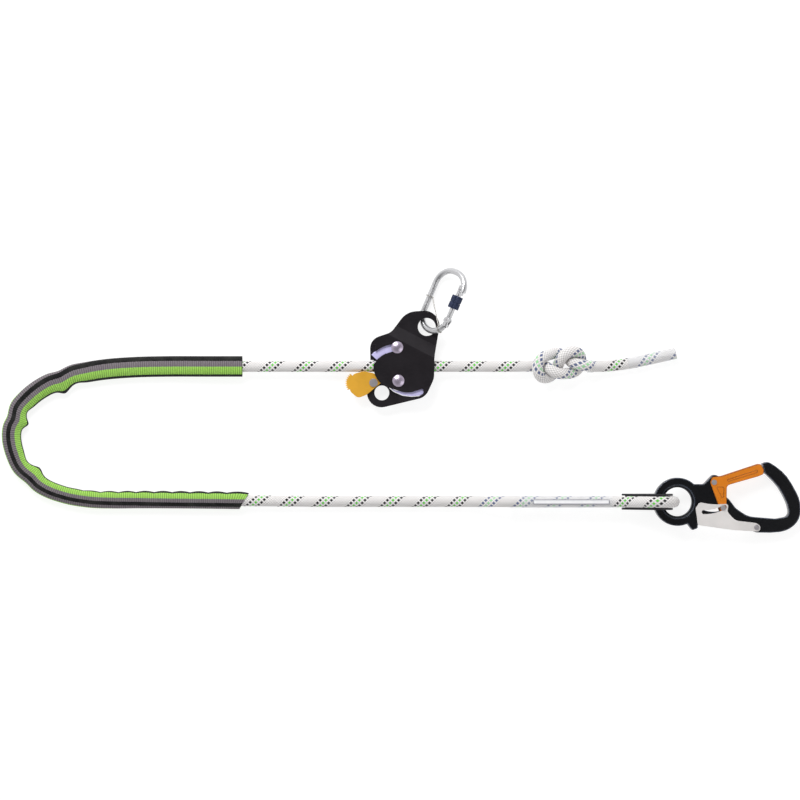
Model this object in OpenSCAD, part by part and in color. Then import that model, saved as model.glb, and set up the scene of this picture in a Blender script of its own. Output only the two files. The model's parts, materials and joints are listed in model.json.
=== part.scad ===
// Adjustable work-positioning lanyard: braided rope with a rope grab, snap hook and carabiner.
// Lies flat. +Z up, z = 0 is the surface that it lies on, the rope's standing part runs along X.

/* [Rope] */
// Rope diameter
rope_d = 14; // [13.6:0.1:14.2]
// Y of the standing part that the grab slides on
grab_line_y = 42; // [42:42]
// Height of the rope's centre inside the grab
grab_line_z = 13; // [13:13]
// Y of the run that leads to the hook
hook_line_y = -127; // [-127:-127]

/* [Sleeve] */
// Flat width of the protective sleeve
sleeve_w = 26; // [24:0.5:28]
// Wall of the protective sleeve
sleeve_wall = 1.2; // [0.8:0.1:1.2]

/* [Eye] */
// Radius of the rope's centre line round the thimble
eye_r = 18.5; // [18.5:18.5]
// Overall width of the thimble's channel
thimble_w = 20; // [18:0.5:21]

/* [Snap hook] */
// Outer radius of the ring
ring_r = 30; // [29:0.5:30]
// Inner radius of the ring
ring_bore_r = 18; // [17:0.5:18.5]
// Thickness of the forged body
hook_t = 11; // [10:0.5:11]
// Sheet thickness of the gate and the lever
sheet_t = 1.4; // [1:0.1:1.5]
// Gate opening when the lever is fully pressed, in degrees
gate_open = 36; // [30:36]
// Degrees that the gate turns for each degree of the lever
gate_ratio = 8.5; // [8:0.5:9]

/* [Rope grab] */
// Thickness of the side plates
plate_t = 2.8; // [2.5:0.1:3]
// Gap between the side plates
plate_gap = 15; // [14.6:0.1:15]
// Radius of the carabiner eye
eye_hole_r = 11.2; // [10.9:0.1:11.4]
// Radius of the lower eye
lower_eye_r = 9.25; // [8:0.05:9.25]
// Radius of the rivets' domed heads
rivet_head_r = 7.6; // [6:0.1:7.8]

/* [Carabiner] */
// Diameter of the bar
bar_d = 7.6; // [7:0.1:7.8]
// Length of the locking sleeve
screw_len = 16.4; // [14:0.2:17]
// Outer radius of the locking sleeve
screw_r = 7; // [6.4:0.1:7]

/* [Hidden] */
$fn = 48;
rope_r = rope_d / 2;

// Rope's centre line from the splice to the knot
main_route = [
    [-150, -127, 7], [-205, -127, 7], [-260, -127, 7], [-310, -127, 7], [-360, -126.5, 7.6],
    [-411, -126, 8.6], [-450, -125.5, 8.6], [-500, -125, 8.6], [-540, -125, 8.6],
    [-575, -125, 8.6], [-605, -124, 8.6], [-634, -119.5, 8.6], [-660, -109.5, 8.6],
    [-682, -92, 8.6], [-697, -69, 8.6], [-702.5, -45, 8.6], [-698, -24, 8.6],
    [-687, -5, 8.6], [-670, 11, 8.6], [-648, 23.5, 8.6], [-620, 32, 8.6], [-586, 38, 8.6],
    [-550, 41, 8.6], [-505, 42, 9.2], [-460, 42, 11], [-413, 42, 12.8], [-390, 42, 13],
    [-310, 42, 13], [-225, 42, 13], [-140, 42, 13], [-54, 42, 13]
];
sleeve_first = 5;
sleeve_last = 25;
// Centre line from the splice round the eye and back to the sewn end
eye_route = [
    [-150, -127, 7], [-128, -127, 9.6], [-106, -127, 16.6], [-84, -127, 22.8], [-40, -127, 22.8],
    [8, -127, 22.8], [50, -127, 22.8], [70, -127, 27.8], [86, -127, 36.2], [96, -127, 41.6],
    [107.5, -127, 44], [120.6, -127, 38.6], [126, -127, 25.5], [120.6, -127, 12.4],
    [107.5, -127, 7], [84, -127, 7.4], [52, -127, 7.8], [8, -127, 7.8], [-40, -127, 7.8],
    [-82, -127, 7.8]
];
tail_route = [
    [18, 42, 13], [32, 42, 11], [50, 43, 8.4], [69, 45.6, 7.9], [98, 51.6, 7.9], [129, 58.5, 7.9]
];
eye_c = [107.5, 25.5];
tail_sleeve_first = 3;

// Snap hook: its own frame has the ring's centre at the origin and the hook along +X
hook_at = [130, -127, 20.6];
hook_tilt = 5.4;
gate_pivot = [45.5, 24.25];
lever_pivot = [99, -32];
follower = [56.6, -7.6];
hook_pin_r = 2.3;
pin_gap = 0.05;
gate_in = hook_t / 2 + 0.3;
gate_out = gate_in + sheet_t;
lever_in = gate_out + 0.3;
lever_out = lever_in + sheet_t;

// Rope grab: its own frame has the lower rivet at the origin
grab_at = [-218, 24, 0];
upper_axle = [-1.5, 41.7];
lower_eye = [-20.7, -15.1];
catch_axle = [-31.1, -2.4];
grab_eye = [35.5, 67.3];
rope_y = grab_line_y - grab_at[1];
mid_z = grab_line_z;
inner_z = plate_gap / 2;
outer_z = inner_z + plate_t;
head_h = 2.5;
// Direction from the lower rivet towards the carabiner eye, square to the plates' upper bend
bend_a = 27;
bend_s = [46, 60];
rope_gap = 0.4;
cam_r = 9.4;
cam_offset = [-0.6, 1.2];
slot_r = 41.7;
slot_w = 9.2;

// Carabiner: its own frame has the point where the bar passes the eye at the origin
carabiner_turn = -23;
carabiner_roll = -38;
spine_x = -14.6;
gate_x = 26.4;
bow_r = 20.5;
bow_y = 18.3;
hinge_y = 17.25;
latch_y = 59;
gate_r = 3.4;
bar_r = bar_d / 2;
crown_y = 56.2;
crown_r = 21;
claw_x = 31;
screw_y = 41.8;

// ---- functions ----
function arc(c, r, a0, a1, n = 12) =
    [for (i = [0:n]) c + r * [cos(a0 + (a1 - a0) * i / n), sin(a0 + (a1 - a0) * i / n)]];
function unit(v) = v / norm(v);
function turn(v, a) = [v[0] * cos(a) - v[1] * sin(a), v[0] * sin(a) + v[1] * cos(a)];
function around(p, c, a) = c + turn(p - c, a);
// A corner at b between a and c, rounded to the radius in b[2]
function corner(a, b, c) =
    let (p = [b[0], b[1]], u = unit([a[0], a[1]] - p), v = unit([c[0], c[1]] - p),
         half = acos(u * v) / 2, m = p + unit(u + v) * b[2] / sin(half),
         s = p + u * b[2] / tan(half) - m, e = p + v * b[2] / tan(half) - m,
         a0 = atan2(s[1], s[0]), turned = atan2(s[0] * e[1] - s[1] * e[0], s * e))
    b[2] <= 0 ? [p] : arc(m, b[2], a0, a0 + turned, ceil(abs(turned) / 12));
function rounded(p) =
    [for (i = [0:len(p) - 1]) each corner(p[(i + len(p) - 1) % len(p)], p[i], p[(i + 1) % len(p)])];
// Catmull-Rom curve through the points, n steps a span
function curve(p, n) =
    [for (i = [0:len(p) - 2]) each
        let (b = p[i], c = p[i + 1], a = i > 0 ? p[i - 1] : 2 * b - c,
             d = i < len(p) - 2 ? p[i + 2] : 2 * c - b)
        [for (k = [0:n - 1]) let (t = k / n)
            0.5 * (2 * b + (c - a) * t + (2 * a - 5 * b + 4 * c - d) * t * t
                   + (3 * b - a - 3 * c + d) * t * t * t)],
     p[len(p) - 1]];
function slice(p, first, last) = [for (i = [first:last]) p[i]];
// Rings of points square to a path; side is any direction the path never follows
function rings(path, rx, ry, side, sides) =
    let (n = len(path))
    [for (i = [0:n - 1])
        let (t = unit(path[min(i + 1, n - 1)] - path[max(i - 1, 0)]),
             s = unit(cross(t, side)), u = cross(s, t))
        for (k = [0:sides - 1]) path[i] + rx * cos(360 * (k + 0.5) / sides) * s
            + ry * sin(360 * (k + 0.5) / sides) * u];
// The triangles between one ring and the next
function walls(n, sides) =
    [for (i = [0:n - 2], k = [0:sides - 1])
        let (a = i * sides + k, b = i * sides + (k + 1) % sides)
        each [[a, b, b + sides], [a, b + sides, a + sides]]];
// Outline of a tear drop: a circle and the two lines from it to a point
function tear(c, r, tip) =
    let (d = tip - c, b = acos(r / norm(d)), a = atan2(d[1], d[0]))
    concat([tip], arc(c, r, a + b, a + 360 - b, 28));

// ---- helpers ----
// A rod of elliptical section swept along a path
module sweep(path, rx, ry, side, sides = 10) {
    n = len(path);
    ends = [[for (k = [sides - 1:-1:0]) k], [for (k = [0:sides - 1]) (n - 1) * sides + k]];
    polyhedron(rings(path, rx, ry, side, sides), concat(walls(n, sides), ends));
}

// A pipe of elliptical section swept along a path
module hollow_sweep(path, rx, ry, wall, side, sides) {
    n = len(path);
    m = n * sides;
    bore = [for (f = walls(n, sides)) [f[1] + m, f[0] + m, f[2] + m]];
    rims = [for (k = [0:sides - 1])
        let (a = k, b = (k + 1) % sides, e = (n - 1) * sides)
        each [[b, a, a + m], [b, a + m, b + m],
            [a + e, b + e, b + e + m], [a + e, b + e + m, a + e + m]]];
    polyhedron(concat(rings(path, rx, ry, side, sides),
        rings(path, rx - wall, ry - wall, side, sides)), concat(walls(n, sides), bore, rims));
}

module slab(half) {
    linear_extrude(2 * half, center = true) children();
}

module pin(at, r, half, head_r = 0, head = 0) {
    translate([at[0], at[1], 0]) {
        cylinder(r = r, h = 2 * half, center = true);
        if (head > 0) {
            for (s = [-1, 1]) {
                scale([1, 1, s]) translate([0, 0, half]) cylinder(r = head_r, h = head);
            }
        }
    }
}

// A coil drawn as touching rings
module coil(r, wire_r, turns, pitch) {
    for (i = [0:turns - 1]) {
        translate([0, 0, (i - (turns - 1) / 2) * pitch])
            rotate_extrude($fn = 36) translate([r, 0]) circle(r = wire_r, $fn = 16);
    }
}

module hook_frame_at() {
    translate(hook_at) rotate([0, hook_tilt, 0]) children();
}

module grab_at_place() {
    translate(grab_at) children();
}

module carabiner_at() {
    translate([grab_at[0] + grab_eye[0], grab_at[1] + grab_eye[1], mid_z])
        rotate([0, 0, carabiner_turn]) rotate([0, carabiner_roll, 0]) children();
}

// ---- rope set ----
rope_side = [0, 0, 1];
module rope_main() {
    color("white") sweep(main_route, rope_r, rope_r, rope_side);
}

module rope_eye() {
    color("white") sweep(curve(eye_route, 2), rope_r, rope_r, [0, 1, 0]);
}

module rope_tail() {
    color("white") sweep(tail_route, rope_r, rope_r, rope_side);
}

module rope_knot() {
    color("white") intersection() {
        hull() {
            for (p = [[-38, 50, 15.8], [-37, 38, 15.8], [1, 51, 15.8], [2, 37, 15.8]]) {
                translate(p) sphere(r = 15.8, $fn = 24);
            }
        }
        translate([-54, 0, -1]) cube([72, 90, 40]);
    }
}

module protective_sleeve() {
    color("yellowgreen") hollow_sweep(slice(main_route, sleeve_first, sleeve_last),
        sleeve_w / 2, rope_r + 0.3 + sleeve_wall, sleeve_wall, rope_side, 12);
}

module tail_sleeve() {
    color("lightgrey") hollow_sweep(slice(tail_route, tail_sleeve_first,
        len(tail_route) - 1), rope_r + 0.9, rope_r + 0.9, 0.7, rope_side, 10);
}

module knot_sleeve() {
    color("lightgrey") translate([18.2, grab_line_y, 13]) rotate([0, 98, 0]) difference() {
        cylinder(r = rope_r + 1.5, h = 7);
        translate([0, 0, -1]) cylinder(r = rope_r + 0.7, h = 9);
    }
}

// The two legs of the splice lie one on the other
module splice_section(grow) {
    polygon(rounded([for (p = [[-1, -1], [1, -1], [1, 1], [-1, 1]])
        [(rope_r + 0.1 + grow) * p[0], 15.5 + (14.7 + grow) * p[1], rope_r + grow]]));
}

module splice_sleeve() {
    color("lightgrey") translate([-64, hook_line_y, 0]) rotate([90, 0, 90]) difference() {
        linear_extrude(112) splice_section(0.8);
        translate([0, 0, -1]) linear_extrude(114) splice_section(0.1);
    }
}

// A thin blank label on top of the clear sleeve
module id_label() {
    color("whitesmoke") translate([-50, hook_line_y - 2.8, 31]) cube([95, 5.6, 0.4]);
}

module eye_thimble() {
    color("black") translate([0, hook_line_y, 0]) rotate([90, 0, 0]) difference() {
        slab(thimble_w / 2) polygon(tear(eye_c, 17, [61, 15.2]));
        slab(thimble_w) polygon(tear(eye_c, 9.4, [76, 17]));
        slab(rope_r + 0.6) difference() {
            translate([40, -10]) square([110, 80]);
            polygon(tear(eye_c, eye_r - rope_r - 0.2, [65, 15.4]));
        }
    }
}

// ---- snap hook ----
module hook_outline() {
    difference() {
        union() {
            circle(r = ring_r, $fn = 96);
            // shank, spine, bow and nose in one outline
            polygon(rounded([
                [8, -22, 0], [18.5, -35.5, 2], [25, -33, 2], [25.6, -20, 4], [44, -21.5, 20],
                [88, -33, 20], [99, -38.5, 5], [122, -39, 60], [140, -36, 30], [155, -22, 24],
                [155, 2, 40], [136, 36, 60], [113.5, 50.5, 8], [104.6, 46.5, 1.5],
                [104.6, 35, 1.5], [111, 35, 4], [128, 18, 60], [139, -4, 38], [141, -18.5, 7],
                [124, -21.5, 10], [88, -18.5, 30], [73, -8, 12], [65, 2.5, 6], [52, 14, 6],
                [54, 33.5, 6.7], [44, 33.5, 5], [33, 22, 3], [8, 22, 0]
            ]));
        }
        circle(r = ring_bore_r, $fn = 96);
    }
}

module hook_frame() {
    color([0.09, 0.1, 0.13]) hook_frame_at() difference() {
        union() {
            slab(hook_t / 2) difference() {
                hook_outline();
                // room for the gate's tip
                intersection() {
                    translate(gate_pivot) circle(r = 65.4, $fn = 180);
                    translate([90, 28]) square([30, 30]);
                }
                // room for the follower pin's swing
                polygon(concat(
                    [for (i = [0:8]) around(unit(follower - gate_pivot) * (norm(follower - gate_pivot)
                        + 3.1) + gate_pivot, gate_pivot, 5 - (gate_open + 10) * i / 8)],
                    [for (i = [8:-1:0]) around(unit(follower - gate_pivot) * (norm(follower - gate_pivot)
                        - 3.1) + gate_pivot, gate_pivot, 5 - (gate_open + 10) * i / 8)]));
            }
            // tongue that stops the gate
            slab(4) polygon([[112, 36.5], [99, 36], [99, 42], [112, 44.5]]);
        }
        // rounded lips of the ring
        for (s = [-1, 1]) {
            scale([1, 1, s]) translate([0, 0, hook_t / 2 - 3]) {
                difference() {
                    cylinder(r1 = ring_bore_r - 0.01, r2 = ring_bore_r + 3, h = 3.01, $fn = 96);
                    translate([0, 0, -1]) cylinder(r = ring_bore_r - 1, h = 5);
                }
            }
        }
        for (p = [gate_pivot, lever_pivot]) {
            translate(p) cylinder(r = hook_pin_r + pin_gap, h = 40, center = true);
            translate(p) cylinder(r = 4.4, h = 6, center = true);
        }
    }
}

module gate_pivot_pin() {
    color("dimgray") hook_frame_at()
        pin(gate_pivot, hook_pin_r, gate_out + 0.15, hook_pin_r + 1, 0.8);
}

module lever_pivot_pin() {
    color("gray") hook_frame_at()
        pin(lever_pivot, hook_pin_r, lever_out + 0.15, hook_pin_r + 1, 0.8);
}

module gate_outline() {
    polygon(rounded([
        [40.5, 24, 5], [43, 31, 4], [56, 32, 12], [104, 47.6, 3], [108.3, 40, 4],
        [107.6, 34.2, 2.5], [101, 31.5, 6], [61.6, 20.4, 5], [61, -12.5, 4], [54, -12.5, 3.5]
    ]));
}

module hook_gate() {
    color("darkorange") hook_frame_at() difference() {
        union() {
            difference() {
                slab(gate_out) gate_outline();
                slab(gate_in) square(300, center = true);
            }
            // web that joins the cheeks along the arm's inner edge
            slab(gate_out - 0.1) intersection() {
                gate_outline();
                polygon([[68, 20], [68, 24.2], [104, 34.6], [107, 34.6], [107, 30]]);
            }
        }
        translate(gate_pivot) cylinder(r = hook_pin_r + pin_gap, h = 40, center = true);
        translate(follower) cylinder(r = hook_pin_r + 0.02, h = 40, center = true);
        // groove pressed into the arm
        for (s = [-1, 1]) {
            scale([1, 1, s]) translate([0, 0, gate_out - 0.5]) linear_extrude(2)
                polygon(rounded([[62, 27.6, 1.2], [100, 39.6, 1.4], [101, 36.6, 1.4], [63, 25, 1.2]]));
            scale([1, 1, s]) translate([0, 0, gate_out - 0.5]) linear_extrude(2)
                polygon(rounded([[48.5, 18.5, 1], [58, 18.5, 2], [57.5, 1, 1.5]]));
        }
    }
}

module gate_follower_pin() {
    color("dimgray") hook_frame_at()
        pin(follower, hook_pin_r, lever_out + 0.2, hook_pin_r + 1, 0.8);
}

// Centre line of the lever's slot: the follower's path, seen from the lever
slot_path = [for (i = [-1:12]) let (press = gate_open / gate_ratio * i / 11)
    around(around(follower, gate_pivot, -press * gate_ratio), lever_pivot, press)];
module lever_slot(half_w) {
    n = len(slot_path) - 1;
    side = [for (i = [0:n]) turn(unit(slot_path[min(i + 1, n)] - slot_path[max(i - 1, 0)]), 90)];
    polygon(concat([for (i = [0:n]) slot_path[i] + half_w * side[i]],
        [for (i = [n:-1:0]) slot_path[i] - half_w * side[i]]));
    for (i = [0, n]) {
        translate(slot_path[i]) circle(r = half_w);
    }
}

module lever_outline() {
    polygon(rounded([
        [22, -8, 3], [27, -0.6, 4], [44, -3.4, 30], [63.6, -2.6, 3], [61.8, -12.5, 6],
        [72, -23.5, 14], [98, -26.5, 6], [103.4, -30, 4], [103.4, -37.4, 4], [70, -35.4, 40],
        [24.8, -29, 3]
    ]));
}

module hook_lever() {
    color("gainsboro") hook_frame_at() difference() {
        union() {
            difference() {
                slab(lever_out) lever_outline();
                slab(lever_in) square(300, center = true);
            }
            // web along the lower edge
            slab(lever_out - 0.1) intersection() {
                lever_outline();
                polygon([[27, -36], [27, -27.8], [60, -32], [86, -34.6], [86, -40]]);
            }
        }
        slab(40) lever_slot(hook_pin_r + 0.25);
        translate(lever_pivot) cylinder(r = hook_pin_r + pin_gap, h = 40, center = true);
    }
}

module gate_spring() {
    color("silver") hook_frame_at() translate(gate_pivot) coil(3.3, 0.55, 5, 1.08);
}

module lever_spring() {
    color("silver") hook_frame_at() translate(lever_pivot) coil(3.3, 0.55, 5, 1.08);
}

// ---- rope grab ----
module plate_outline() {
    polygon(rounded([
        [45, 30, 40], [55.2, 89.5, 19], [10, 86, 24], [-9, 60.5, 16], [-35.8, 51.5, 16],
        [-35, 26, 3],
        [-39.2, 4, 4], [-39.2, -38.2, 18.2], [34, -20.4, 17], [44.6, 3, 18]
    ]));
}

// Part of the outline that stays in the plate's own plane
module upper_zone() {
    polygon(rounded([
        [-31, 26, 0], [-31, 1, 26], [-13, -8.4, 14], [7.5, -14.6, 14], [16, -14.6, 12],
        [29, -10.2, 0], [60, -10.2, 0],
        [60, 100, 0], [-60, 100, 0], [-60, 26, 0]
    ]));
}

// Part below the crescent slit, which is set down to the lower eye
module lower_zone() {
    polygon(rounded([
        [-60, 4, 0], [-20, 4, 6], [-15, -6.2, 4], [-6, -13.8, 6], [5, -18.6, 10], [16, -20, 12],
        [26, -19.2, 5], [31.2, -15.8, 3], [31.2, -9.4, 0], [62, -9.4, 0], [62, -60, 0],
        [-60, -60, 0]
    ]));
}

// A sheet that runs at the plate's height, then slopes down to the middle
module bent_sheet(from, to) {
    rotate([90, 0, 0]) slab(150) polygon([
        [-200, inner_z], [from, inner_z], [to, 0], [200, 0],
        [200, plate_t], [to, plate_t], [from, outer_z], [-200, outer_z]
    ]);
}

// One side plate, seen from its outside, without its slot
module plate_blank() {
    intersection() {
        slab(30) intersection() {
            plate_outline();
            upper_zone();
        }
        rotate([0, 0, 90 - bend_a]) bent_sheet(bend_s[0], bend_s[1]);
    }
    intersection() {
        slab(30) intersection() {
            translate([-0.08, 0]) plate_outline();
            lower_zone();
        }
        rotate([0, 0, 180]) bent_sheet(-22, 0);
    }
}

module plate_holes() {
    translate([0, 0, -30]) {
        cylinder(r = 4.05, h = 60);
        translate(upper_axle) cylinder(r = 4.05, h = 60);
        translate(grab_eye) cylinder(r = eye_hole_r, h = 60, $fn = 72);
        translate(lower_eye) cylinder(r = lower_eye_r, h = 60, $fn = 72);
        translate(catch_axle) cylinder(r = 2.65, h = 60);
    }
}

module front_plate() {
    color([0.25, 0.22, 0.25]) grab_at_place() translate([0, 0, mid_z]) difference() {
        plate_blank();
        plate_holes();
        // slot for the upper rivet, open at its left end
        slab(30) {
            polygon(concat(arc([0, 0], slot_r + slot_w / 2, 92, 152, 20),
                arc([0, 0], slot_r - slot_w / 2, 152, 92, 20)));
            translate(upper_axle) circle(r = slot_w / 2);
            translate([-45, 30]) square([16.5, 15]);
        }
    }
}

module rear_plate() {
    color([0.25, 0.22, 0.25]) grab_at_place() translate([0, 0, mid_z]) difference() {
        scale([1, 1, -1]) plate_blank();
        plate_holes();
    }
}

module rivet_dome() {
    intersection() {
        cylinder(r = rivet_head_r, h = head_h);
        translate([0, 0, head_h - 13]) sphere(r = 13, $fn = 96);
    }
}

module rivet(at) {
    translate([at[0], at[1], mid_z]) {
        cylinder(r = 4, h = 2 * outer_z, center = true);
        for (s = [-1, 1]) {
            scale([1, 1, s]) translate([0, 0, outer_z]) rivet_dome();
        }
    }
}

module upper_rivet() {
    color("thistle") grab_at_place() rivet(upper_axle);
}

module lower_rivet() {
    color("thistle") grab_at_place() rivet([0, 0]);
}

module rope_bollard() {
    color("thistle") grab_at_place() translate([0, 0, mid_z]) difference() {
        slab(inner_z) intersection() {
            union() {
                translate(upper_axle) circle(r = 16, $fn = 72);
                polygon(concat(arc([0, 0], slot_r + slot_w / 2 + 0.6, 88, 136, 16),
                    arc([0, 0], slot_r - slot_w / 2 + 0.4, 136, 88, 16)));
            }
            translate([-60, rope_y + rope_r + rope_gap]) square([120, 60]);
            // stays clear of the plates' bend
            rotate(-bend_a) translate([-60, -60]) square([120, 60 + bend_s[0] - 0.5]);
        }
        translate(upper_axle) cylinder(r = 4.02, h = 40, center = true);
    }
}

// Steel band seen through the crescent slit
module lower_spacer() {
    color("thistle") grab_at_place() translate([0, 0, mid_z]) slab(inner_z) difference() {
        polygon(rounded([
            [-10.4, -9.2, 0.5], [-5.4, -13.1, 6], [5, -17.8, 10], [16, -19.3, 12], [26, -18.5, 5],
            [34, -15.2, 3], [33, -8.5, 3], [12, -12.2, 6]
        ]));
        circle(r = 12.4, $fn = 72);
    }
}

module rope_cam() {
    color("silver") grab_at_place() translate([0, 0, mid_z]) difference() {
        union() {
            slab(inner_z - 0.4) intersection() {
                translate(cam_offset) circle(r = cam_r, $fn = 72);
                translate([-30, -30]) square([60, 30 + rope_y - rope_r - rope_gap]);
            }
            // tail that the catch pushes
            translate([0, 0, 3.3]) linear_extrude(3.4)
                polygon(rounded([[-3, 5, 0], [-18.6, 0.6, 1.2], [-18.6, -3.4, 1.2], [-3, -6, 0]]));
        }
        cylinder(r = 5.25, h = 40, center = true);
        // pocket for the return spring
        translate([0, 0, -inner_z]) cylinder(r = 7.4, h = 4.4);
    }
}

module cam_bush() {
    color("goldenrod") grab_at_place() translate([0, 0, mid_z]) difference() {
        cylinder(r = 5.2, h = 2 * inner_z - 0.2, center = true);
        cylinder(r = 4.02, h = 40, center = true);
    }
}

module cam_spring() {
    color("gray") grab_at_place() translate([0, 0, mid_z - inner_z + 2.2]) coil(6.25, 0.5, 4, 0.98);
}

catch_low = 3.3;
catch_t = 3.6;
teeth = 9;
module thumb_catch() {
    color("goldenrod") grab_at_place() translate([0, 0, mid_z + catch_low]) difference() {
        linear_extrude(catch_t) {
            polygon(rounded([
                [-20.6, -1.6, 2.4], [-30, 9.4, 9], [-44, 12, 12], [-56, 8.5, 5], [-62, -4, 8],
                [-60, -13.5, 6], [-50.5, -21.8, 7], [-40, -17.6, 6]
            ]));
            // serrated thumb edge
            polygon(concat([[-48, -3]], [for (i = [0:2 * teeth]) [-51, -2.8]
                + (i % 2 == 0 ? 13.2 : 15.8)
                * [cos(126 + 92 * i / (2 * teeth)), sin(126 + 92 * i / (2 * teeth))]]));
        }
        translate([catch_axle[0], catch_axle[1], -1]) cylinder(r = 2.65, h = 10);
    }
}

module catch_pin() {
    color("slategray") grab_at_place() translate([catch_axle[0], catch_axle[1], 0]) {
        translate([0, 0, mid_z - plate_t - 1.8]) cylinder(r = 4.4, h = 1.8);
        translate([0, 0, mid_z - plate_t]) cylinder(r = 2.6, h = plate_t + catch_low + catch_t + 0.1);
        translate([0, 0, mid_z + catch_low + catch_t + 0.1]) cylinder(r = 5.2, h = 1.5);
    }
}

module catch_spring() {
    color("gray") grab_at_place() translate([catch_axle[0], catch_axle[1], mid_z - plate_t - 3.6])
        coil(3.2, 0.45, 4, 0.88);
}

// ---- carabiner ----
// A quarter or part of a ring of the bar's section in the carabiner's plane
module bow(c, r, a0, a1, section_r) {
    translate(c) rotate([0, 0, a0]) rotate_extrude(angle = a1 - a0, $fn = 72)
        translate([r, 0]) circle(r = section_r, $fn = 36);
}

module bar_along_y(x, y0, y1, r) {
    translate([x, y0, 0]) rotate([-90, 0, 0]) cylinder(r = r, h = y1 - y0, $fn = 36);
}

module carabiner_body() {
    bow_c = [spine_x + bow_r, bow_y];
    crown_left = [spine_x + crown_r, crown_y];
    crown_right = [claw_x - crown_r, crown_y];
    color("silver") carabiner_at() difference() {
        union() {
            bar_along_y(spine_x, bow_c[1], crown_y, bar_r);
            bow(bow_c, bow_r, 180, 335, bar_r);
            bow(crown_left, crown_r, 90, 180, bar_r);
            translate([crown_left[0], crown_y + crown_r, 0]) rotate([0, 90, 0])
                cylinder(r = bar_r, h = crown_right[0] - crown_left[0], $fn = 36);
            bow(crown_right, crown_r, 0, 90, bar_r);
            bar_along_y(claw_x, 52.4, crown_y, bar_r);
            // hinge end
            translate([gate_x, hinge_y, 0]) cylinder(r = bar_r, h = 2 * bar_r, center = true);
            intersection() {
                bar_along_y(gate_x, 9, hinge_y, bar_r + 0.3);
                translate([gate_x - bar_r, 8, -bar_r]) cube([2 * bar_r, 12, 2 * bar_r]);
            }
        }
        // seat and way in for the gate
        bar_along_y(gate_x, 48, 64.6, gate_r + 0.5);
        translate([0, 48, -6]) cube([gate_x, 16.6, 12]);
        // thinned tip that the locking sleeve passes over
        difference() {
            translate([gate_x, 50, -8]) cube([14, 6.2, 16]);
            bar_along_y(gate_x, 49, 57, 5.5);
        }
        // fork and pin hole
        translate([gate_x - 8, 12.6, -1.7]) cube([16, 12, 3.4]);
        translate([gate_x, hinge_y, 0]) cylinder(r = 1.35, h = 20, center = true);
    }
}

module carabiner_hinge_pin() {
    color("gray") carabiner_at() pin([gate_x, hinge_y], 1.3, bar_r + 0.3);
}

module carabiner_gate() {
    color("silver") carabiner_at() difference() {
        union() {
            bar_along_y(gate_x, hinge_y + 4.75, 64, gate_r);
            // hinge tongue
            intersection() {
                union() {
                    translate([gate_x, hinge_y, 0]) cylinder(r = 3.3, h = 3, center = true);
                    translate([gate_x - 2.9, hinge_y, -1.5]) cube([5.8, 5, 3]);
                }
                translate([gate_x, hinge_y + 1, 0]) cube([7, 9, 3], center = true);
            }
        }
        translate([gate_x, hinge_y, 0]) cylinder(r = 1.35, h = 20, center = true);
        translate([gate_x, latch_y, 0]) cylinder(r = 1.25, h = 20, center = true);
        // slot for the nose
        translate([gate_x - 8, 55, -1.6]) cube([16, 12, 3.2]);
        // blind bore for the plunger and its spring, and the stub that the sleeve screws on
        bar_along_y(gate_x, hinge_y + 8, 50, 1.5);
    }
}

module gate_latch_pin() {
    color("gray") carabiner_at() pin([gate_x, latch_y], 1.2, gate_r - 0.1);
}

module gate_plunger() {
    color("gray") carabiner_at() bar_along_y(gate_x, hinge_y + 8.2, 34, 1.3);
}

module plunger_spring() {
    color("gray") carabiner_at() translate([gate_x, 38, 0]) rotate([90, 0, 0])
        coil(1.0, 0.4, 9, 0.79);
}

module screw_sleeve() {
    color([0.2, 0.24, 0.33]) carabiner_at() translate([gate_x, screw_y - screw_len / 2, 0])
        rotate([-90, 0, 0]) difference() {
            union() {
                for (z = [0, screw_len / 2 + 0.5]) {
                    translate([0, 0, z]) linear_extrude(screw_len / 2 - 0.5)
                        polygon([for (i = [0:47]) (screw_r - (i % 2) * 0.5)
                            * [cos(7.5 * i), sin(7.5 * i)]]);
                }
                cylinder(r = screw_r - 0.8, h = screw_len);
            }
            translate([0, 0, -1]) cylinder(r = gate_r + 0.15, h = 40);
            translate([0, 0, screw_len - 6]) cylinder(r = 5.75, h = 8);
        }
}

// Twisted wire from the spine to the lower bow, which keeps the bow in the eye
module keeper_wire() {
    wire_r = 0.65;
    loop_r = bar_r + wire_r + 0.03;
    low_a = 312;
    high = [spine_x, 37];
    low = [spine_x + bow_r, bow_y] + bow_r * [cos(low_a), sin(low_a)];
    from = high + [loop_r, 0];
    d = low - loop_r * [cos(low_a), sin(low_a)] - from;
    color("lightgray") carabiner_at() {
        translate(high) rotate([90, 0, 0]) rotate_extrude()
            translate([loop_r, 0]) circle(r = wire_r, $fn = 16);
        translate(low) rotate([0, 0, low_a]) rotate([90, 0, 0]) rotate_extrude()
            translate([loop_r, 0]) circle(r = wire_r, $fn = 16);
        translate(from) rotate([0, 0, atan2(d[1], d[0])]) rotate([0, 90, 0])
            cylinder(r = wire_r, h = norm(d));
    }
}

rope_main();
rope_eye();
rope_knot();
rope_tail();
protective_sleeve();
eye_thimble();
splice_sleeve();
id_label();
knot_sleeve();
tail_sleeve();
hook_frame();
gate_pivot_pin();
lever_pivot_pin();
hook_gate();
gate_follower_pin();
hook_lever();
gate_spring();
lever_spring();
front_plate();
rear_plate();
upper_rivet();
lower_rivet();
rope_bollard();
lower_spacer();
rope_cam();
cam_bush();
cam_spring();
thumb_catch();
catch_pin();
catch_spring();
carabiner_body();
carabiner_hinge_pin();
carabiner_gate();
gate_latch_pin();
gate_plunger();
plunger_spring();
screw_sleeve();
keeper_wire();
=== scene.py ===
import json
import math

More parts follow.
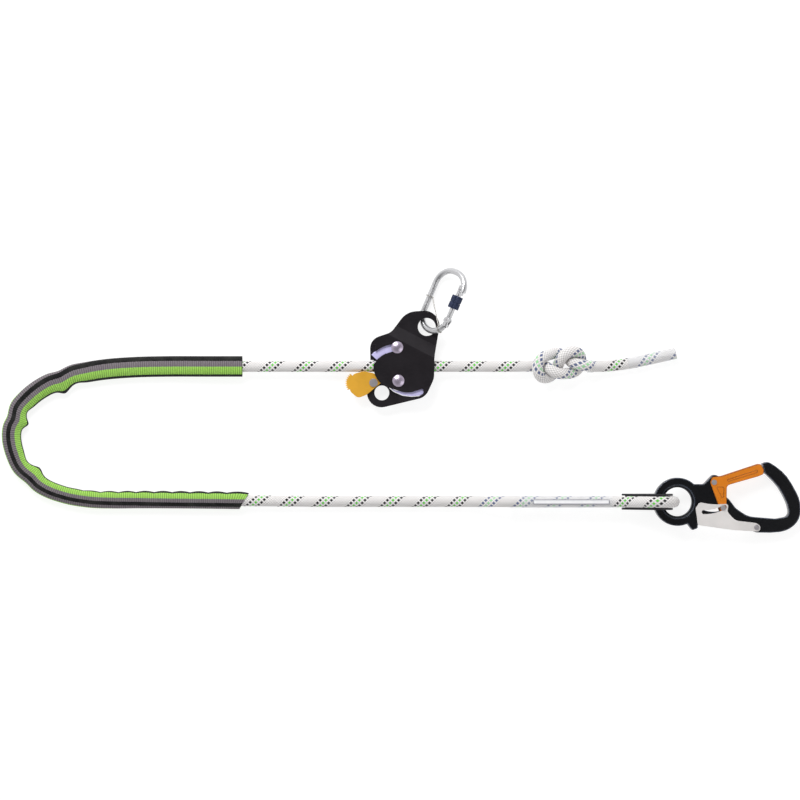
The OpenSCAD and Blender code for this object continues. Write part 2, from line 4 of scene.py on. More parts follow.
import bpy
import numpy as np
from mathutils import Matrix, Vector


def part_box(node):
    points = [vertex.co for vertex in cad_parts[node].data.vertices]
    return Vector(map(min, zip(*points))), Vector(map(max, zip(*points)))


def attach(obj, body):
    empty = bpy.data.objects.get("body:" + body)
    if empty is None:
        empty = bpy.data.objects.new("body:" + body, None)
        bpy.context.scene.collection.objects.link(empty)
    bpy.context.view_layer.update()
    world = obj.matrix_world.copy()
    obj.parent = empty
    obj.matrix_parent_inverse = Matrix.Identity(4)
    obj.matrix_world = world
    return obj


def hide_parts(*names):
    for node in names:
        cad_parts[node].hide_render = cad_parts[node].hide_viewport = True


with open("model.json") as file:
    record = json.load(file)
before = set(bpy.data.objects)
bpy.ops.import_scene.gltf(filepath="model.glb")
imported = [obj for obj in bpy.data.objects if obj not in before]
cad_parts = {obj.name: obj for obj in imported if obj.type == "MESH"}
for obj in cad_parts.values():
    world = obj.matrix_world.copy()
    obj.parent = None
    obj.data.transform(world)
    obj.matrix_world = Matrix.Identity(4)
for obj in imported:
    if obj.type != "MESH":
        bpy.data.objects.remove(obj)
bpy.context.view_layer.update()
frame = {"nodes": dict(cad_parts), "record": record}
nodes = frame["nodes"]
scene = bpy.context.scene
MM = 0.001
UP = np.array([0.0, 0.0, 1.0])

# ---- camera, straight above ----
VIEW_X = -0.216
VIEW_WIDTH = 1.0
VIEW_HEIGHT = 6.0
GRAB_LINE_Z = 0.013
SENSOR = 36
camera_data = bpy.data.cameras.new("camera")
camera_data.sensor_width = SENSOR
camera_data.lens = SENSOR * (VIEW_HEIGHT - GRAB_LINE_Z) / VIEW_WIDTH
camera_data.clip_end = 50
camera = bpy.data.objects.new("camera", camera_data)
camera.location = (VIEW_X, 0.0, VIEW_HEIGHT)
scene.collection.objects.link(camera)
scene.camera = camera
scene.view_settings.view_transform = "Standard"


# ---- paths ----
def spline(points, step):
    """Points every step mm along a smooth curve through points, in mm."""
    p = np.array(points, float)
    p = np.vstack([2 * p[0] - p[1], p, 2 * p[-1] - p[-2]])
    out = []
    for i in range(1, len(p) - 2):
        a, b, c, d = p[i - 1:i + 3]
        t = np.linspace(0, 1, 25)[:-1, None]
        knot = [0.0]
        for q, r in ((a, b), (b, c), (c, d)):
            knot.append(knot[-1] + max(np.linalg.norm(r - q), 1e-6) ** 0.5)
        t0, t1, t2, t3 = knot
        t = t1 + (t2 - t1) * t
        a1 = (t1 - t) / (t1 - t0) * a + (t - t0) / (t1 - t0) * b
        a2 = (t2 - t) / (t2 - t1) * b + (t - t1) / (t2 - t1) * c
        a3 = (t3 - t) / (t3 - t2) * c + (t - t2) / (t3 - t2) * d
        b1 = (t2 - t) / (t2 - t0) * a1 + (t - t0) / (t2 - t0) * a2
        b2 = (t3 - t) / (t3 - t1) * a2 + (t - t1) / (t3 - t1) * a3
        out.append((t2 - t) / (t2 - t1) * b1 + (t - t1) / (t2 - t1) * b2)
    return even(np.vstack(out + [p[-2][None]]), step)


def lengths(p):
    return np.concatenate([[0], np.cumsum(np.linalg.norm(np.diff(p, axis=0), axis=1))])


def even(p, step):
    s = lengths(p)
    n = max(int(round(s[-1] / step)), 2)
    t = np.linspace(0, s[-1], n + 1)
    return np.stack([np.interp(t, s, p[:, k]) for k in range(3)], axis=1)


def tangents(p):
    t = np.gradient(p, axis=0)
    return t / np.linalg.norm(t, axis=1)[:, None]


def carried(p, first):
    """A direction square to the path at every point, carried along without twist."""
    t = tangents(p)
    out = [first - np.dot(first, t[0]) * t[0]]
    for k in range(1, len(p)):
        v = out[-1] - np.dot(out[-1], t[k]) * t[k]
        out.append(v / np.linalg.norm(v))
    out[0] = out[0] / np.linalg.norm(out[0])
    return np.array(out)


def tightened(points, thickness, rounds, low, high):
    """A loose knot pulled tight: its line shortens until the rope lies against itself."""
    step = 3.2
    p = even(np.array(points, float), step)
    n = len(p)
    apart = np.abs(np.subtract.outer(np.arange(n), np.arange(n))) * step > 1.75 * thickness
    ends = p[[0, 1, -2, -1]].copy()
    for _ in range(rounds):
        away = p[:, None] - p[None]
        gap = np.linalg.norm(away, axis=2) + 1e-9
        near = apart & (gap < thickness)
        push = (np.where(near, (thickness - gap) / gap, 0.0)[:, :, None] * away).sum(axis=1)
        push = push / np.maximum(near.sum(axis=1), 1)[:, None]
        pull = np.zeros_like(p)
        pull[1:-1] = (p[:-2] + p[2:]) / 2 - p[1:-1]
        stiff = np.zeros_like(p)
        stiff[1:-1] = (pull[:-2] + pull[2:]) / 2 - pull[1:-1]
        p = p + 0.6 * push + 0.3 * pull - 0.1 * stiff
        p = np.clip(p, low, high)
        p[[0, 1, -2, -1]] = ends
    return p


# ---- meshes ----
def mesh_object(name, verts, faces, uvs=None, smooth=True):
    mesh = bpy.data.meshes.new(name)
    mesh.from_pydata([tuple(v) for v in verts], [], faces)
    if uvs is not None:
        layer = mesh.uv_layers.new(name="UVMap")
        layer.data.foreach_set("uv", np.array(uvs, np.float32).ravel())
    mesh.update()
    if smooth:
        mesh.polygons.foreach_set("use_smooth", [True] * len(mesh.polygons))
    obj = bpy.data.objects.new(name, mesh)
    scene.collection.objects.link(obj)
    return obj


def lofted(name, rings, along, turn=None, caps=True, shift=0.0):
    """A tube through rings of points in mm. Its UVs are the turn round it and metres along it.

    turn moves the UVs round the tube point by point, and shift moves them all alike."""
    k, n = rings.shape[:2]
    turn = np.zeros((k, n)) if turn is None else turn
    verts = rings.reshape(-1, 3) * MM
    faces, uvs = [], []
    for i in range(k - 1):
        for j in range(n):
            j2 = (j + 1) % n
            faces.append((i * n + j, (i + 1) * n + j, (i + 1) * n + j2, i * n + j2))
            a, b = j / n + shift, (j + 1) / n + shift
            uvs += [(a + turn[i, j], along[i]), (a + turn[i + 1, j], along[i + 1]),
                    (b + turn[i + 1, j2], along[i + 1]), (b + turn[i, j2], along[i])]
    verts = list(map(tuple, verts))
    if caps:
        for i, order in ((0, 1), (k - 1, -1)):
            centre = rings[i].mean(axis=0) * MM
            verts.append(tuple(centre))
            c = len(verts) - 1
            for j in range(n):
                a, b = i * n + j, i * n + (j + 1) % n
                faces.append((c, a, b) if order > 0 else (c, b, a))
                uvs += [(j / n, along[i])] * 3
    return mesh_object(name, verts, faces, uvs)


# ---- shader helpers ----
class Nodes:
    """A material's node tree, with short calls for its arithmetic."""

    def __init__(self, name):
        self.material = bpy.data.materials.new(name)
        self.material.use_nodes = True
        self.tree = self.material.node_tree
        self.shader = self.tree.nodes["Principled BSDF"]

    def new(self, kind, **settings):
        node = self.tree.nodes.new(kind)
        for key, value in settings.items():
            setattr(node, key, value)
        return node

    def put(self, socket, value):
        if isinstance(value, bpy.types.NodeSocket):
            self.tree.links.new(value, socket)
        elif isinstance(value, (tuple, list)) and len(value) == 3 and socket.type == "RGBA":
            socket.default_value = (*value, 1)
        else:
            socket.default_value = value

    def math(self, op, a, b=0.0, c=0.0, clamp=False):
        node = self.new("ShaderNodeMath", operation=op, use_clamp=clamp)
        for k, value in enumerate((a, b, c)):
            self.put(node.inputs[k], value)
        return node.outputs[0]

    def uv(self):
        split = self.new("ShaderNodeSeparateXYZ")
        node = self.new("ShaderNodeUVMap", uv_map="UVMap")
        self.tree.links.new(node.outputs[0], split.inputs[0])
        return split.outputs[0], split.outputs[1]

    def place(self, scale=(1, 1, 1), turn=(0, 0, 0), at=(0, 0, 0)):
        node = self.new("ShaderNodeMapping")
        self.put(node.inputs["Vector"], self.new("ShaderNodeTexCoord").outputs["Object"])
        self.put(node.inputs["Location"], at)
        self.put(node.inputs["Rotation"], turn)
        self.put(node.inputs["Scale"], scale)
        return node.outputs[0]

    def noise(self, scale, detail=3.0, rough=0.5, vector=None):
        node = self.new("ShaderNodeTexNoise")
        self.put(node.inputs["Vector"], vector or self.place())
        self.put(node.inputs["Scale"], scale)
        self.put(node.inputs["Detail"], detail)
        self.put(node.inputs["Roughness"], rough)
        return node.outputs["Fac"]

    def span(self, value, low, high, to_low=0.0, to_high=1.0):
        node = self.new("ShaderNodeMapRange", clamp=True)
        for k, v in enumerate((value, low, high, to_low, to_high)):
            self.put(node.inputs[k], v)
        return node.outputs[0]

    def mix(self, factor, a, b):
        node = self.new("ShaderNodeMix", data_type="RGBA")
        self.put(node.inputs["Factor"], factor)
        self.put(node.inputs[6], a)
        self.put(node.inputs[7], b)
        return node.outputs[2]

    def bump(self, height, distance, strength=1.0, normal=None):
        node = self.new("ShaderNodeBump")
        self.put(node.inputs["Strength"], strength)
        self.put(node.inputs["Distance"], distance)
        self.put(node.inputs["Height"], height)
        if normal is not None:
            self.put(node.inputs["Normal"], normal)
        return node.outputs[0]

    def set(self, **values):
        for key, value in values.items():
            self.put(self.shader.inputs[key.replace("_", " ")], value)
        return self.material


def linear(r, g, b):
    """A colour given in sRGB bytes, as the shader wants it."""
    return tuple((c / 255 / 12.92) if c <= 10 else ((c / 255 + 0.055) / 1.055) ** 2.4
                 for c in (r, g, b))


def edge_mask(m, radius):
    """The rounded normal, and how far it differs from the flat one: high along edges."""
    bevel = m.new("ShaderNodeBevel", samples=4)
    m.put(bevel.inputs["Radius"], radius)
    dot = m.new("ShaderNodeVectorMath", operation="DOT_PRODUCT")
    m.put(dot.inputs[0], bevel.outputs[0])
    m.put(dot.inputs[1], m.new("ShaderNodeNewGeometry").outputs["Normal"])
    return bevel.outputs[0], m.span(dot.outputs["Value"], 0.995, 0.85)


def hard(name, colour, edge_wear_and_light_colour, rough, metallic, grain=900.0, relief=0.00002, edge=0.0004,
         spread=0.06, streak=(1, 1, 1), edge_wear_and_light_amount=0.4, fleck=0.05, coat=0.0, shine=0.5,
         extra=None):
    """A metal or moulded finish: mottled colour, uneven gloss, fine relief, and edges painted in a
    second colour: rubbed metal on most finishes, a painted highlight on the black forged hook and
    painted shade in the orange gate's grooves and along its edges.
    """
    m = Nodes(name)
    cloud = m.noise(38.0, 4.0, 0.6)
    fine = m.noise(grain, 3.0, 0.6, m.place(scale=streak))
    normal, mask = edge_mask(m, edge)
    # along edges the base is painted in the second colour: real rubbing on most finishes, a painted
    # highlight on black_forged and painted shade on orange_sheet
    edge_wear_and_light_mask = m.math("MULTIPLY", mask, m.span(m.noise(160.0, 4.0, 0.7), 0.35, 0.7, edge_wear_and_light_amount * 0.5, edge_wear_and_light_amount))
    dark = tuple(c * (1 - spread) for c in colour)
    light = tuple(min(c * (1 + spread), 1) for c in colour)
    base = m.mix(m.span(cloud, 0.3, 0.7), dark, light)
    base = m.mix(m.math("MULTIPLY", m.span(fine, 0.45, 0.75), fleck), base, edge_wear_and_light_colour)
    base = m.mix(edge_wear_and_light_mask, base, edge_wear_and_light_colour)
    gloss = m.math("ADD", m.span(cloud, 0.3, 0.7, rough * 0.88, rough * 1.12),
                   m.span(fine, 0.3, 0.7, -0.02, 0.03), clamp=True)
    normal = m.bump(fine, relief, 0.6, normal)
    if extra is not None:
        normal = m.bump(extra(m), 0.0006, 0.9, normal)
    return m.set(Base_Color=base, Roughness=gloss, Metallic=metallic, Coat_Weight=coat,
                 Coat_Roughness=0.1, Specular_IOR_Level=shine, Normal=normal)


# ---- rope ----
ROPE_R = 7.0
# The skin is drawn a little inside the rope's radius, so that it clears what touches it.
SKIN_R = ROPE_R - 0.1
# Route points in mm: the main run from the splice to the knot, then the eye from the sewn end to
# the splice, then the free end
MAIN = [(-150, -127, 7), (-205, -127, 7), (-260, -127, 7), (-310, -127, 7), (-360, -126.5, 7.6),
        (-411, -126, 8.6), (-450, -125.5, 8.6), (-500, -125, 8.6), (-540, -125, 8.6),
        (-575, -125, 8.6), (-605, -124, 8.6), (-634, -119.5, 8.6), (-660, -109.5, 8.6),
        (-682, -92, 8.6), (-697, -69, 8.6), (-702.5, -45, 8.6), (-698, -24, 8.6),
        (-687, -5, 8.6), (-670, 11, 8.6), (-648, 23.5, 8.6), (-620, 32, 8.6), (-586, 38, 8.6),
        (-550, 41, 8.6), (-505, 42, 9.2), (-460, 42, 11), (-413, 42, 12.8), (-390, 42, 13),
        (-310, 42, 13), (-225, 42, 13), (-140, 42, 13), (-80, 42, 13)]
SLEEVE_FIRST, SLEEVE_LAST = 5, 25
EYE = [(-82, -127, 7.8), (-40, -127, 7.8), (8, -127, 7.8), (52, -127, 7.8), (84, -127, 7.4),
       (107.5, -127, 7), (120.6, -127, 12.4), (126, -127, 25.5), (120.6, -127, 38.6),
       (107.5, -127, 44), (96, -127, 41.6), (86, -127, 36.2), (70, -127, 27.8),
       (50, -127, 22.8), (8, -127, 22.8), (-40, -127, 22.8), (-84, -127, 22.8),
       (-106, -127, 16.6), (-128, -127, 9.6)]
TAIL = [(32, 42, 11), (50, 43, 8.4), (69, 45.6, 7.9), (98, 51.6, 7.9), (129, 58.5, 7.9)]
KNOT_AT = np.array([-18.0, 43.0, 15.8])
KNOT_SPACING = 14.3
KNOT_ROUNDS = 700
# The room that the knot's centre line has: its two far corners
KNOT_LOW, KNOT_HIGH = (-66, 27.6, 7.2), (30, 60.4, 24.4)
# A figure-eight knot, loosely laid: over and under by turns
LOOSE = [(-62, -1, -2.8), (-48, 0, -4), (-34, 0, -10), (-24, 0, -12), (-8, -2, 12), (10, -18, 4),
         (28, -19, -6), (40, -3, -12), (32, 15, -2), (11, 17, 12), (-8, 0, -12), (-18, -19, -2),
         (-32, -17, 8), (-32, 0, 12), (-28, 22, 4), (-6, 29, -8), (11, 17, -13), (20, 3, -2),
         (40, -3, 12), (52, -2, 0), (62, -1, -4)]
knot_line = spline([KNOT_AT + np.array([x * 0.75, y, z]) for x, y, z in LOOSE], 3.0)
knot_line = tightened(knot_line, KNOT_SPACING, KNOT_ROUNDS, KNOT_LOW, KNOT_HIGH)
rope_line = spline(np.vstack([EYE, MAIN, knot_line[2:-1:2], TAIL]), 1.8)
rope_along = lengths(rope_line) * MM


def round_tube(name, line, radius, sides, along, first=UP, **more):
    t = tangents(line)
    up = carried(line, first)
    side = np.cross(up, t)
    angle = np.linspace(0, 2 * math.pi, sides, endpoint=False)
    radius = np.broadcast_to(radius, len(line))
    rings = line[:, None] + radius[:, None, None] * (
        np.cos(angle)[None, :, None] * up[:, None] + np.sin(angle)[None, :, None] * side[:, None])
    return lofted(name, rings, along, **more)


rope = round_tube("rope", rope_line, SKIN_R, 28, rope_along)
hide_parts("rope_main", "rope_eye", "rope_knot", "rope_tail")
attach(rope, "lanyard")

# The tracer winds round once every PITCH metres, in DOTS dots; its rows lie ROW metres apart.
PITCH = 0.042
DOTS = 12
ROW = 0.007


def rope_material():
    m = Nodes("braided_rope")
    turn, along = m.uv()
    lean = m.math("SUBTRACT", m.math("MULTIPLY", turn, DOTS), 0.5)
    run = m.math("SUBTRACT", m.math("DIVIDE", along, PITCH / DOTS), 0.5)
    one = m.math("COSINE", m.math("MULTIPLY", lean, math.pi * 2))
    two = m.math("COSINE", m.math("MULTIPLY", run, math.pi * 2))
    plait = m.span(m.math("MULTIPLY", one, two), -1, 1)
    # tracer yarns: three rows of dots that wind round together, once a turn
    wind = m.math("FRACT", m.math("SUBTRACT", m.math("DIVIDE", along, PITCH), turn))
    at = m.math("MULTIPLY", m.math("SUBTRACT", wind, 0.5), PITCH)
    part = m.math("MULTIPLY", m.math("SUBTRACT", m.math("FRACT", m.math(
        "MULTIPLY", turn, DOTS)), 0.5), 1 / DOTS)
    around = m.math("MULTIPLY", part, 2 * math.pi * ROPE_R * MM)
    forward = m.math("ADD", at, m.math("MULTIPLY", part, PITCH))

    def dots(offset, size):
        ahead = m.math("SUBTRACT", forward, offset)
        far = m.math("SQRT", m.math("ADD", m.math("MULTIPLY", ahead, ahead),
                                    m.math("MULTIPLY", around, around)))
        return m.span(far, size, size * 0.75)

    black = m.math("MAXIMUM", dots(-ROW, 0.0019), dots(ROW, 0.0019))
    green = dots(0.0, 0.0017)
    # the yarns look faded where clear film covers them
    faded = 0.0
    for start, end in COVERED:
        on = m.math("MULTIPLY", m.span(along, start, start + 0.002),
                    m.span(along, end, end - 0.002))
        faded = m.math("MAXIMUM", faded, on)
    black_yarn = m.mix(faded, linear(4, 4, 8), linear(84, 96, 132))
    green_yarn = m.mix(faded, linear(84, 196, 44), linear(146, 210, 150))
    soil = m.noise(70.0, 4.0, 0.6)
    # painted shade: the braid's hollows between the strands are painted darker
    base = m.mix(m.span(plait, 0.0, 0.9), linear(176, 173, 173), linear(240, 238, 237))
    base = m.mix(m.span(soil, 0.35, 0.75, 0.0, 0.25), base, linear(196, 190, 186))
    base = m.mix(black, base, black_yarn)
    base = m.mix(green, base, green_yarn)
    fuzz = m.noise(2600.0, 2.0, 0.6)
    relief = m.math("ADD", plait, m.math("MULTIPLY", fuzz, 0.25))
    return m.set(Base_Color=base, Roughness=m.span(soil, 0.3, 0.7, 0.72, 0.88),
                 Sheen_Weight=0.25, Sheen_Roughness=0.5, Normal=m.bump(relief, 0.0006, 0.8))


def along_at(point):
    """How far along the rope the nearest place to a point is, in metres."""
    return float(rope_along[np.linalg.norm(rope_line - np.array(point), axis=1).argmin()])


KNOT_START = along_at((-72, 42, 13))
# Stretches under clear film, in metres along the rope: both legs of the splice, the knot and the end
COVERED = [(-0.01, along_at((52, -127, 7.8))),
           (along_at((50, -127, 22.8)), along_at((-122, -127, 9))),
           (KNOT_START + 0.014, along_at((28, 42, 11))),
           (along_at((69, 45.6, 7.9)), float(rope_along[-1]) + 0.01)]
rope.data.materials.append(rope_material())

# ---- webbing sleeve over the rope ----
sleeve_line = spline(MAIN[SLEEVE_FIRST:SLEEVE_LAST + 1], 1.5)
SIDES = 56
SLEEVE_FLAT_WIDTH, SLEEVE_WALL = 0.068, 1.1
PICK_PITCH = 0.0027
WARP_YARNS = 46


def eased(x, a, b):
    """0 before a, 1 after b and a smooth rise between them."""
    t = np.clip((x - a) / (b - a), 0, 1)
    return t * t * (3 - 2 * t)


# Folds on the inside of the bend: x, y, height and length in mm
CREASES = [(-635, 11, 4.6, 9.0), (-678, -31, 4.8, 7.5), (-664, -83, 4.2, 9.5)]


def sleeve():
    s = lengths(sleeve_line)
    total = s[-1]
    t = tangents(sleeve_line)
    side = np.cross(UP, t)
    side /= np.linalg.norm(side, axis=1)[:, None]
    turns = np.arange(SIDES) / SIDES
    across = np.abs(turns - 0.5) * 4 - 1
    shape = across * 0.55 + np.cos(turns * 2 * math.pi) * 0.45
    rise = np.sign(0.5 - turns) * (1 - np.abs(shape) ** 2.3) ** 0.62
    rise[0] = 0.0
    inner = np.clip(-shape, 0, 1) ** 2
    # the cloth is pushed up in folds on the inside of the bend
    fold = np.zeros(len(s))
    for x, y, height, length in CREASES:
        at = s[np.linalg.norm(sleeve_line[:, :2] - np.array([x, y]), axis=1).argmin()]
        fold += height * np.exp(-((s - at) / length) ** 2)
        fold -= 0.35 * height * np.exp(-((s - at - 2.2 * length) / length) ** 2)
    sway = 0.45 * fold + 0.5 * np.sin(s / 16.0) * np.exp(-((s - total * 0.48) / 150.0) ** 2)
    early = 1 - eased(s, total * 0.26, total * 0.36)
    scallop = early * (np.abs(np.sin(s / 22.5 * math.pi)) - 0.5) * 1.6
    wide = 10.6 + 2.3 * eased(s, total * 0.3, total * 0.62)
    w = wide[:, None] + inner[None] * (0.8 * fold + scallop)[:, None]
    h = 8.2 + 0.15 * np.sin(s / 31.0)[:, None] - (0.12 * fold)[:, None] * inner[None]
    w[:, shape > -0.2] = np.minimum(w[:, shape > -0.2], 12.95)
    slant = 5.75 * np.exp(-(s / 16.0) ** 2)
    rings = []
    for inset in (0.0, SLEEVE_WALL):
        rings.append(sleeve_line[:, None]
                     + side[:, None] * ((w - inset) * shape[None] - sway[:, None])[:, :, None]
                     + UP[None, None] * ((h - inset) * rise[None])[:, :, None]
                     + t[:, None] * (slant[:, None] * shape[None])[:, :, None])
    outer, hollow = rings
    # an outside, an end rim, the inside and the other rim, as one closed skin
    skin = np.vstack([outer, hollow[::-1], outer[:1]])
    along = np.concatenate([s, s[::-1], s[:1]]) * MM
    into, out = eased(s, total * 0.12, total * 0.34), eased(s, total * 0.52, total * 0.76)
    start = -0.01 - 0.065 * into + 0.115 * out
    swell = 0.09 + 0.02 * into - 0.065 * out
    turn = start[:, None] - swell[:, None] * np.cos(turns * 2 * math.pi)[None]
    turn = np.vstack([turn, turn[::-1], turn[:1]])
    return lofted("webbing_sleeve", skin, along, turn=turn, caps=False, shift=1.0), total * MM


webbing, sleeve_length = sleeve()
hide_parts("protective_sleeve")
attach(webbing, "lanyard")


def webbing_material():
    m = Nodes("striped_webbing")
    turn, along = m.uv()
    ramp = m.new("ShaderNodeValToRGB")
    ramp.color_ramp.interpolation = "CONSTANT"
    black, grey, green = linear(5, 5, 8), linear(124, 116, 122), linear(158, 212, 92)
    stops = [(0.0, black), (0.15, grey), (0.295, green), (0.5, black), (0.63, green),
             (0.85, grey)]
    marks = ramp.color_ramp.elements
    marks[0].position, marks[0].color = 0.0, (*black, 1)
    marks[1].position, marks[1].color = stops[1][0], (*stops[1][1], 1)
    for position, colour in stops[2:]:
        mark = marks.new(position)
        mark.color = (*colour, 1)
    ragged = m.math("MULTIPLY", m.math("SUBTRACT", m.noise(900.0, 2.0), 0.5), 0.012)
    m.put(ramp.inputs[0], m.math("FRACT", m.math("ADD", turn, ragged)))
    picks = m.math("SINE", m.math("MULTIPLY", along, 2 * math.pi / PICK_PITCH))
    warp = m.math("SINE", m.math("MULTIPLY", turn, 2 * math.pi * WARP_YARNS))
    weave = m.span(m.math("ADD", picks, m.math("MULTIPLY", warp, 0.45)), -1.45, 1.45)
    cloud = m.noise(60.0, 4.0, 0.6)
    # painted shade: the hollows between the picks are painted near-black
    shade = m.mix(m.span(weave, 0.0, 0.7, 0.62, 0.0), ramp.outputs[0], linear(12, 14, 12))
    shade = m.mix(m.span(cloud, 0.4, 0.8, 0.0, 0.05), shade, linear(196, 200, 188))
    fuzz = m.noise(3000.0, 2.0)
    relief = m.math("ADD", weave, m.math("MULTIPLY", fuzz, 0.3))
    return m.set(Base_Color=shade, Roughness=m.span(cloud, 0.3, 0.7, 0.74, 0.9),
                 Sheen_Weight=0.05, Sheen_Roughness=0.5, Specular_IOR_Level=0.2,
                 Normal=m.bump(relief, 0.0005, 1.0))


webbing.data.materials.append(webbing_material())


# ---- clear films and label ----
def film_material(name, tint, alpha, rough):
    m = Nodes(name)
    cloud = m.noise(110.0, 5.0, 0.6)
    wrinkle = m.noise(260.0, 3.0, 0.5, m.place(scale=(0.35, 1, 1)))
    base = m.mix(m.span(cloud, 0.3, 0.7), tint, (0.94, 0.95, 0.97))
    return m.set(Base_Color=base, Alpha=m.span(cloud, 0.3, 0.75, alpha * 0.75, alpha * 1.3),
                 Roughness=m.span(wrinkle, 0.3, 0.7, rough * 0.7, rough * 1.4),
                 Normal=m.bump(wrinkle, 0.0004, 0.3))


film = film_material("clear_film", (0.74, 0.79, 0.86), 0.12, 0.26)


def label_material():
    m = Nodes("blank_label")
    low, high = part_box("id_label")
    split = m.new("ShaderNodeSeparateXYZ")
    m.put(split.inputs[0], m.place())
    centre = (low + high) / 2
    half = (high - low) / 2
    off_x, off_y = (
        m.math("SUBTRACT", half[k], m.math("ABSOLUTE", m.math("SUBTRACT", split.outputs[k], centre[k])))
        for k in (0, 1))
    border = m.span(m.math("MINIMUM", off_x, off_y), 0.0005, 0.0008)
    paper = m.mix(m.span(m.noise(300.0), 0.3, 0.7), linear(232, 232, 235), linear(242, 242, 244))
    return m.set(Base_Color=m.mix(border, linear(84, 86, 104), paper),
                 Roughness=m.span(m.noise(700.0), 0.3, 0.7, 0.35, 0.5),
                 Normal=m.bump(m.noise(900.0), 0.00003, 0.5))


# ---- finishes of the hard parts ----
# The carabiner's own frame: where the bar passes the eye, and how it is rolled and turned
CARABINER_AT = (-0.1825, 0.0913, 0.013)
CARABINER_ROLL, CARABINER_TURN = -38, -23
GATE_X = 0.0264
KNURL_PITCH, KNURL_TEETH = 0.0024, 16


def knurl(m):
    """Diamond knurling on the screw sleeve, in two bands, in the carabiner's own frame."""
    local = m.new("ShaderNodeMapping", vector_type="TEXTURE")
    m.put(local.inputs["Vector"], m.new("ShaderNodeTexCoord").outputs["Object"])
    m.put(local.inputs["Location"], CARABINER_AT)
    m.put(local.inputs["Rotation"], (0, math.radians(CARABINER_ROLL),
                                      math.radians(CARABINER_TURN)))
    split = m.new("ShaderNodeSeparateXYZ")
    m.put(split.inputs[0], local.outputs[0])
    angle = m.math("ARCTAN2", split.outputs[2], m.math("SUBTRACT", split.outputs[0], GATE_X))
    run = m.math("MULTIPLY", split.outputs[1], 2 * math.pi / KNURL_PITCH)
    round_it = m.math("MULTIPLY", angle, KNURL_TEETH)
    return m.math("MULTIPLY", m.math("SINE", m.math("ADD", round_it, run)),
                  m.math("SINE", m.math("SUBTRACT", round_it, run)))


finishes = {
    "black_plastic": hard("black_plastic", linear(30, 29, 34), linear(96, 94, 100), 0.38, 0.0,
                          700, 0.00003, 0.0005),
    # black_forged: its light blue-grey edge colour is a painted highlight along the edges and the
    # hook's chamfer
    "black_forged": hard("black_forged", linear(3, 4, 8), linear(112, 120, 138), 0.24, 0.0,
                         420, 0.00002, 0.0026, coat=0.1, edge_wear_and_light_amount=1.1, fleck=0.003, shine=0.3),
    # orange_sheet: its dark brown edge colour is painted shade in the grooves and along the edges
    "orange_sheet": hard("orange_sheet", linear(232, 132, 20), linear(64, 28, 4), 0.3, 0.3,
                         900, 0.00002, 0.0016, edge_wear_and_light_amount=1.4, fleck=0.02, coat=0.2),
    "bright_sheet": hard("bright_sheet", linear(228, 224, 222), linear(250, 250, 248), 0.36, 0.3,
                         1100, 0.00001, 0.0005, streak=(0.06, 1, 1)),
    "plate": hard("plate", linear(26, 22, 27), linear(110, 100, 112), 0.34, 0.35, 1300, 0.00001,
                  0.0006, streak=(0.2, 1, 1), fleck=0.03, spread=0.15),
    "rivet": hard("rivet", linear(186, 174, 194), linear(238, 232, 238), 0.3, 0.85, 900, 0.00001,
                  0.0006),
    "steel": hard("steel", linear(176, 172, 176), linear(226, 224, 226), 0.34, 0.7, 1100, 0.00001,
                  0.0005, streak=(1, 0.1, 1)),
    "lilac": hard("lilac", linear(206, 200, 244), linear(232, 230, 246), 0.4, 0.2, 1100, 0.00001,
                  0.0005, streak=(1, 0.1, 1)),
    "spring_steel": hard("spring_steel", linear(160, 160, 166), linear(220, 220, 220), 0.3, 0.9,
                         900, 0.00001, 0.0002),
    "bronze": hard("bronze", linear(170, 126, 70), linear(222, 190, 130), 0.35, 0.85, 900, 0.00001,
                   0.0003),
    "gold": hard("gold", linear(236, 176, 56), linear(252, 224, 140), 0.34, 0.4, 1000, 0.00001,
                 0.0005),
    "bar": hard("bar", linear(196, 196, 198), linear(232, 232, 232), 0.28, 0.9, 800, 0.00001,
                0.0003),
    "navy": hard("navy", linear(48, 58, 88), linear(120, 130, 160), 0.36, 0.35, 900, 0.00002,
                 0.0004, extra=knurl),
    "wire": hard("wire", linear(160, 157, 153), linear(214, 212, 208), 0.36, 0.7, 1200, 0.00002,
                 0.0002),
    "clear_film": film,
    "label": label_material(),
}
slot_of = {part["node"]: part["material_slot"] for part in frame["record"]["subparts"]}
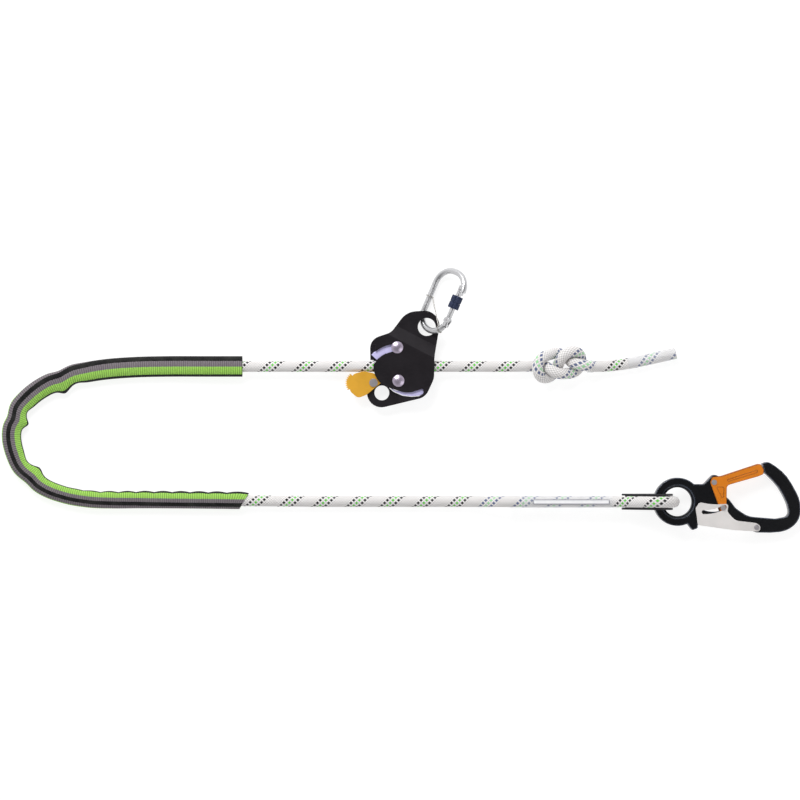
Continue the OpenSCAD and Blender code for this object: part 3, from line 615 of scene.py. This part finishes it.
# the steel that shows between the plates has a lilac cast
slot_of["rope_bollard"] = slot_of["lower_spacer"] = "lilac"
for name, obj in nodes.items():
    finish = finishes.get(slot_of[name])
    if finish is not None:
        obj.data.materials.clear()
        obj.data.materials.append(finish)

# ---- floor and light ----
FLOOR_HALF, FLOOR_Z = 4, -0.0006
floor = mesh_object("floor", [(x * FLOOR_HALF, y * FLOOR_HALF, FLOOR_Z)
                              for x, y in ((-1, -1), (1, -1), (1, 1), (-1, 1))],
                    [(0, 1, 2, 3)], smooth=False)
ground = Nodes("pale_floor")
ground.set(Base_Color=ground.mix(ground.span(ground.noise(3.0), 0.3, 0.7), (0.26, 0.26, 0.26),
                                 (0.28, 0.28, 0.28)), Roughness=0.9, Emission_Strength=0.82,
           Emission_Color=(1.0, 1.0, 1.0))
floor.data.materials.append(ground.material)

# A pale sky, bright round the horizon and darker overhead, so that flat black parts stay black
world = bpy.data.worlds.new("studio")
world.use_nodes = True
sky = world.node_tree
heading = sky.nodes.new("ShaderNodeSeparateXYZ")
sky.links.new(sky.nodes.new("ShaderNodeTexCoord").outputs["Generated"], heading.inputs[0])
fall = sky.nodes.new("ShaderNodeMapRange")
for socket, value in zip(fall.inputs[1:5], (0.3, 0.85, 0.95, 0.22)):  # height, then strength
    socket.default_value = value
sky.links.new(heading.outputs[2], fall.inputs[0])
sky.links.new(fall.outputs[0], sky.nodes["Background"].inputs["Strength"])
sky.nodes["Background"].inputs["Color"].default_value = (1, 1, 1, 1)
scene.world = world


def soft_light(name, at, aim, size, power):
    data = bpy.data.lights.new(name, "AREA")
    data.shape = "SQUARE"
    data.size = size
    data.energy = power
    light = bpy.data.objects.new(name, data)
    light.location = at
    light.rotation_euler = (Vector(aim) - Vector(at)).to_track_quat("-Z", "Y").to_euler()
    scene.collection.objects.link(light)


soft_light("key", (-0.9, 1.6, 1.7), (-0.2, 0, 0), 1.2, 52)
soft_light("fill", (1.3, -0.9, 1.7), (-0.2, 0, 0), 1.4, 8)
